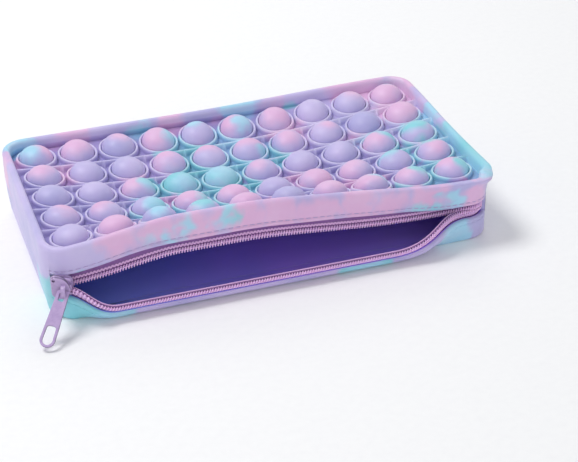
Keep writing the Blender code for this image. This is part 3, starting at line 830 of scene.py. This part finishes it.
def tape_run(soup, s0, s1, z_edge, z_root):
    """Woven tape from its sewn root to its edge at the coil."""
    s = np.linspace(s0, s1, max(3, int((s1 - s0) / 1.5)))
    z = np.linspace(z_root, z_edge, 9)
    grid_s, grid_z = np.meshgrid(s, z, indexing="ij")
    bow = 0.12 * np.sin(np.linspace(0, math.pi, 9))[None, :]
    front = along(grid_s, 2.95 - bow, grid_z)
    back = along(grid_s, 3.4 - bow, grid_z)
    soup.grid(front)
    soup.grid(back, flip=True)
    soup.grid(np.stack([front[:, -1], back[:, -1]], 1))


def coil_run(soup, s0, s1, z, phase):
    """Coil of nylon wire wound round a core cord."""
    pitch, per_turn = 1.2, 14
    s = np.linspace(s0, s1, int((s1 - s0) / pitch * per_turn))
    a = 2 * math.pi * (s / pitch + phase)
    lean = 0.22 * np.sin(a)
    line = along(s + lean, 2.15 + 0.62 * np.sin(a), z + 0.95 * np.cos(a))
    tube(soup, line, 0.29, 7)
    cord_s = np.linspace(s0, s1, max(3, int((s1 - s0) / 1.5)))
    tube(soup, along(cord_s, 2.2, z), 0.34, 6)


def zigzag_run(soup, s0, s1, z, sign):
    """Row of zigzag stitches beside the coil, and the thread row behind it."""
    period, per_turn = 1.5, 8
    s = np.linspace(s0, s1, int((s1 - s0) / period * per_turn))
    wobble = 2 / math.pi * np.arcsin(np.sin(2 * math.pi * s / period))
    for inset in (2.72, 3.52):
        tube(soup, along(s, inset, z + 0.6 * wobble), 0.25, 6)
        tube(soup, along(s + 0.35, inset, z - 0.6 * wobble), 0.2, 5)
    back = along(s, 3.55 + 0.14 * np.sin(4 * math.pi * s / period), ZIP_Z + sign * 0.85)
    tube(soup, back, 0.34, 6)


def dash_run(soup, s0, s1, z):
    """Dashed seam; each stitch dips into the rubber at both ends."""
    pitch, length = 3.1, 2.25
    start = math.ceil((s0 - S_LEFT) / pitch) * pitch + S_LEFT
    for centre in np.arange(start, s1 - 0.01, pitch):
        t = np.linspace(-1, 1, 9)
        s = centre + t * length / 2
        inset = 0.1 + 0.34 * np.abs(t) ** 4
        line = along(s, inset, np.full(9, z))
        if z > LIP_UP:
            line[:, 2] -= hem_drop(line[:, 0])
        tube(soup, line, 0.19, 6)


for lip, breaks, bend, sign in (("upper_lip", UP_BREAKS, open_upper, 1),
                                ("lower_lip", LOW_BREAKS, open_lower, -1)):
    side = lip.split("_")[0]
    root = ZIP_Z + (7.6 if sign > 0 else -5.4)
    edge = ZIP_Z + 0.45 * sign
    coil_z = ZIP_Z + 0.85 * sign
    row_z = ZIP_Z + (2.8 if sign > 0 else -2.75)
    seam_z = SEAM_UP if sign > 0 else SEAM_LOW
    for where, s0, s1 in runs(breaks):
        jobs = (("tape", TAPE, "zipper_tape", lambda p: tape_run(p, s0, s1, edge, root)),
                ("coil", NYLON, "zipper_coil",
                 lambda p: coil_run(p, s0, s1, coil_z, 0.0 if sign > 0 else 0.5)),
                ("zigzag", THREAD, "zipper_tape", lambda p: zigzag_run(p, s0, s1, row_z, sign)),
                ("seam", SEAM if sign > 0 else OUTER, "zipper_tape",
                 lambda p: dash_run(p, s0, s1, seam_z)))
        for kind, mat, slot, fill in jobs:
            soup = Soup()
            fill(soup)
            if not soup.count:
                continue
            piece = soup.make("%s_%s_%s" % (kind, side, where), [mat], bend)
            hang(piece, lip, where, breaks)
            if where == "mid" and kind in ("tape", "coil"):
                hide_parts("zipper_%s_%s" % (kind, side))


# ---------------------------------------------------------------- slider and tab
# outlines are drawn flat: x along the zipper, y up, then stood up in the slider's place
SLIDER_AT = Vector((-93.0, -56.0, 16.9))
SLIDER_YAW = math.radians(-20.0)
TAB_LENGTH, TAB_THICK = 24.0, 1.3
TAB_OUT = 2.6                   # from the slider's middle out to the tab's hinge
TAB_DROOP, TAB_SKEW = math.radians(39.5), math.radians(15.0)


def solid_plate(name, outlines, thick, bevel, materials, edge_index=1):
    """Filled outlines (the first is the border, the rest are holes) with rounded edges."""
    curve = bpy.data.curves.new(name, "CURVE")
    curve.dimensions = "2D"
    curve.fill_mode = "BOTH"
    curve.extrude = thick / 2 - bevel
    curve.bevel_depth = bevel
    curve.offset = -bevel
    curve.bevel_resolution = 3
    for pts in outlines:
        line = curve.splines.new("POLY")
        line.points.add(len(pts) - 1)
        for point, (x, y) in zip(line.points, pts):
            point.co = (x, y, 0.0, 1.0)
        line.use_cyclic_u = True
    probe = bpy.data.objects.new(name + "_curve", curve)
    bpy.context.scene.collection.objects.link(probe)
    graph = bpy.context.evaluated_depsgraph_get()
    mesh = bpy.data.meshes.new_from_object(probe.evaluated_get(graph))
    bpy.data.objects.remove(probe, do_unlink=True)
    mesh.name = name
    mesh.materials.clear()
    for m in materials:
        mesh.materials.append(m)
    # flat faces stay flat, and the steep edge takes its own material
    for poly in mesh.polygons:
        poly.use_smooth = abs(poly.normal.z) < 0.999
        poly.material_index = edge_index if abs(poly.normal.z) < 0.55 else 0
    obj = bpy.data.objects.new(name, mesh)
    bpy.context.scene.collection.objects.link(obj)
    return obj


def rounded(points, radius, steps=5):
    """Round each corner of a closed outline."""
    out = []
    for k in range(len(points)):
        p = Vector(points[k])
        a = Vector(points[k - 1]) - p
        b = Vector(points[(k + 1) % len(points)]) - p
        r = min(radius, a.length * 0.45, b.length * 0.45)
        start, end = p + a.normalized() * r, p + b.normalized() * r
        for j in range(steps + 1):
            t = j / steps
            out.append(tuple(start * (1 - t) ** 2 + p * 2 * t * (1 - t) + end * t * t))
    return out


def lozenge(half_near, half_far, near, far, steps=14):
    """Long outline along y with a flat-arched near end and a round far end."""
    pts = []
    for k in range(steps + 1):
        a = math.pi * k / steps
        pts.append((half_near * math.cos(a), near + half_near * math.sin(a) * 0.45))
    for k in range(steps + 1):
        a = math.pi + math.pi * k / steps
        pts.append((half_far * math.cos(a), far + half_far * math.sin(a)))
    return pts


def join(name, objs):
    bpy.ops.object.select_all(action="DESELECT")
    for o in objs:
        o.select_set(True)
    bpy.context.view_layer.objects.active = objs[0]
    bpy.ops.object.join()
    objs[0].name = name
    return objs[0]


def settle(obj, matrix):
    """Apply a placement given in millimetres."""
    obj.data.transform(matrix)
    obj.data.transform(Matrix.Scale(MM, 4))
    obj.matrix_world = Matrix.Identity(4)
    return obj


place = Matrix.Translation(SLIDER_AT) @ Matrix.Rotation(SLIDER_YAW, 4, "Z")
upright = Matrix.Rotation(math.pi / 2, 4, "X")
crown = [(-5.6, 5.2), (-4.2, 6.3), (-1.2, 5.9), (1.0, 3.8), (2.0, 0.6), (1.7, -2.8), (0.2, -5.0),
         (-3.6, -4.8), (-5.4, -3.0)]
front_plate = solid_plate("slider_front", [rounded(crown, 2.0)], 1.7, 0.6, [PAINT, WORN])
settle(front_plate, place @ Matrix.Translation((0, 0.1, 0)) @ upright)
heel = [(-5.6, 2.6), (-3.4, 3.9), (0.4, 3.9), (2.9, 2.4), (2.9, -2.4), (0.4, -3.9), (-3.4, -3.9),
        (-5.6, -2.6)]
inner_plate = solid_plate("slider_rear", [rounded(heel, 1.8)], 1.4, 0.4, [PAINT, WORN], 0)
settle(inner_plate, place @ Matrix.Translation((0, 4.3, 0)) @ upright)
strap = [(-5.1, 5.3), (-3.7, 6.0), (-1.1, 5.7), (1.2, 4.1), (2.5, 1.2), (2.2, -2.0), (0.8, -2.8),
         (-0.8, -1.9), (-1.0, 0.4), (-2.3, 2.2), (-4.9, 3.0)]
eyelet = [(-4.0 + 0.6 * math.cos(a), 4.5 + 0.6 * math.sin(a)) for a in np.linspace(0, 5.5, 8)]
strap_plate = solid_plate("strap", [rounded(strap, 1.2), eyelet], 1.2, 0.35, [PAINT, WORN])
settle(strap_plate, place @ Matrix.Translation((0, -1.15, 0)) @ upright)
rails = []
for sign in (1, -1):
    rail = [(-4.6, 2.3 * sign), (2.6, 2.6 * sign), (2.6, 3.3 * sign), (0.8, 3.9 * sign),
            (-3.3, 3.7 * sign), (-4.6, 3.0 * sign)]
    rail = rail if sign < 0 else rail[::-1]
    piece = solid_plate("rail", [rounded(rail, 0.5)], 1.6, 0.3, [PAINT, WORN], 0)
    rails.append(settle(piece, place @ Matrix.Translation((0, 1.5, 0)) @ upright))
neck = solid_plate("neck", [rounded([(0.2, 0.9), (2.7, 1.3), (2.7, -1.3), (0.2, -0.9)], 0.6)],
                   4.4, 0.3, [PAINT, WORN], 0)
rails.append(settle(neck, place @ Matrix.Translation((0, 2.3, 0)) @ upright))
# bridge that the pull tab hangs on
arch_out = [(0.9, -2.8), (-2.8, -2.8), (-4.0, -1.6), (-4.0, 1.6), (-2.8, 2.8), (0.9, 2.8)]
arch_in = [(0.9, 1.85), (-2.3, 1.85), (-3.0, 1.1), (-3.0, -1.1), (-2.3, -1.85), (0.9, -1.85)]
arch = solid_plate("arch", [rounded(arch_out, 1.0) + rounded(arch_in, 0.5)], 1.9, 0.35,
                   [PAINT, WORN], 0)
arch_turn = Matrix(((0, 0, 1, 0), (1, 0, 0, -1.1), (0, 1, 0, 0), (0, 0, 0, 1)))
rails.append(settle(arch, place @ arch_turn))
slider = join("zipper_slider_body", [front_plate, inner_plate, strap_plate] + rails)
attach(slider, "slider")
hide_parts("zipper_slider")

# the tab lies in the plane of the hinge axis and the direction it droops in
axis = Matrix.Rotation(SLIDER_YAW, 3, "Z") @ Vector((1, 0, 0))
out = Matrix.Rotation(SLIDER_YAW, 3, "Z") @ Vector((0, -1, 0))
down = out * math.cos(TAB_DROOP) - Vector((0, 0, math.sin(TAB_DROOP)))
turn = Matrix((axis, -down, axis.cross(-down))).transposed().to_4x4()
tab_place = Matrix.Translation(SLIDER_AT + out * TAB_OUT) @ turn
window = rounded([(1.25, -0.75), (-1.25, -0.75), (-1.15, -4.3), (1.15, -4.3)], 0.7)
blade = lozenge(2.5, 3.2, -0.45, -TAB_LENGTH + 3.2)
grip = lozenge(1.9, 2.1, -TAB_LENGTH + 8.3, -TAB_LENGTH + 3.2)
tab = solid_plate("pull_tab_blade", [blade, window, grip], TAB_THICK, 0.28, [PAINT, WORN])
settle(tab, tab_place @ Matrix.Rotation(-TAB_SKEW, 4, "Z"))
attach(tab, "pull_tab")
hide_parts("pull_tab")


# ---------------------------------------------------------------- stage, light, camera
floor_mesh = bpy.data.meshes.new("floor")
reach = 9.0                     # half the floor's side, in metres
floor_mesh.from_pydata([(-reach, -reach, 0), (reach, -reach, 0), (reach, reach, 0),
                        (-reach, reach, 0)], [], [(0, 1, 2, 3)])
floor = bpy.data.objects.new("floor", floor_mesh)
bpy.context.scene.collection.objects.link(floor)
g = Graph("floor_paper")
g.set(base=g.mix(g.noise(300.0, 2.0), linear(246, 246, 247), linear(252, 252, 252)), rough=0.8,
      spec=0.15)
floor_mesh.materials.append(g.mat)


def area_light(name, at, size, power):
    """Round soft light aimed at the case."""
    aim = (0, 0, 0.02)
    lamp = bpy.data.lights.new(name, "AREA")
    lamp.shape = "DISK"
    lamp.size = size
    lamp.energy = power
    obj = bpy.data.objects.new(name, lamp)
    bpy.context.scene.collection.objects.link(obj)
    obj.location = at
    obj.rotation_euler = (Vector(aim) - Vector(at)).to_track_quat("-Z", "Y").to_euler()


area_light("key", (-0.45, 0.25, 1.1), 0.5, 7.6)
area_light("fill", (-0.2, -1.0, 0.35), 0.8, 1.3)
area_light("back", (0.4, 0.8, 0.8), 0.7, 1.6)

# the sky is brightest at the horizon and dimmer overhead
world = bpy.data.worlds.new("studio")
world.use_nodes = True
sky = world.node_tree
sky_coord = sky.nodes.new("ShaderNodeTexCoord")
sky_split = sky.nodes.new("ShaderNodeSeparateXYZ")
sky_level = sky.nodes.new("ShaderNodeMapRange")
for key, value in (("From Min", 0.0), ("From Max", 0.55), ("To Min", 0.98), ("To Max", 0.46)):
    sky_level.inputs[key].default_value = value
sky.links.new(sky_coord.outputs["Generated"], sky_split.inputs[0])
sky.links.new(sky_split.outputs[2], sky_level.inputs["Value"])
sky.links.new(sky_level.outputs[0], sky.nodes["Background"].inputs["Strength"])
sky.nodes["Background"].inputs["Color"].default_value = (0.96, 0.975, 1.0, 1.0)
bpy.context.scene.world = world
bpy.context.scene.view_settings.view_transform = "Standard"

# camera fitted to the photograph; FOCAL is in the same unit as the picture's width
PICTURE_WIDTH, FOCAL, SENSOR = 578.0, 1507.0, 36.0
CAMERA_DISTANCE = 0.6215        # in metres, from the point it aims at
cam_az, cam_el, cam_roll = math.radians(-18.6), math.radians(30.43), math.radians(-0.91)
back_dir = Vector((math.sin(cam_az) * math.cos(cam_el), -math.cos(cam_az) * math.cos(cam_el),
                   math.sin(cam_el)))
target = Vector((0.1, -64.9, 29.71)) * MM
lens = bpy.data.cameras.new("camera")
lens.sensor_width = SENSOR
lens.lens = FOCAL / PICTURE_WIDTH * SENSOR
lens.clip_start = 0.01
camera = bpy.data.objects.new("camera", lens)
bpy.context.scene.collection.objects.link(camera)
right_dir = Vector((math.cos(cam_az), math.sin(cam_az), 0))
up_dir = back_dir.cross(right_dir)
spin = Matrix((right_dir, up_dir, back_dir)).transposed()
spin = spin @ Matrix.Rotation(cam_roll, 3, "Z")
camera.matrix_world = Matrix.Translation(target + back_dir * CAMERA_DISTANCE) @ spin.to_4x4()
bpy.context.scene.camera = camera
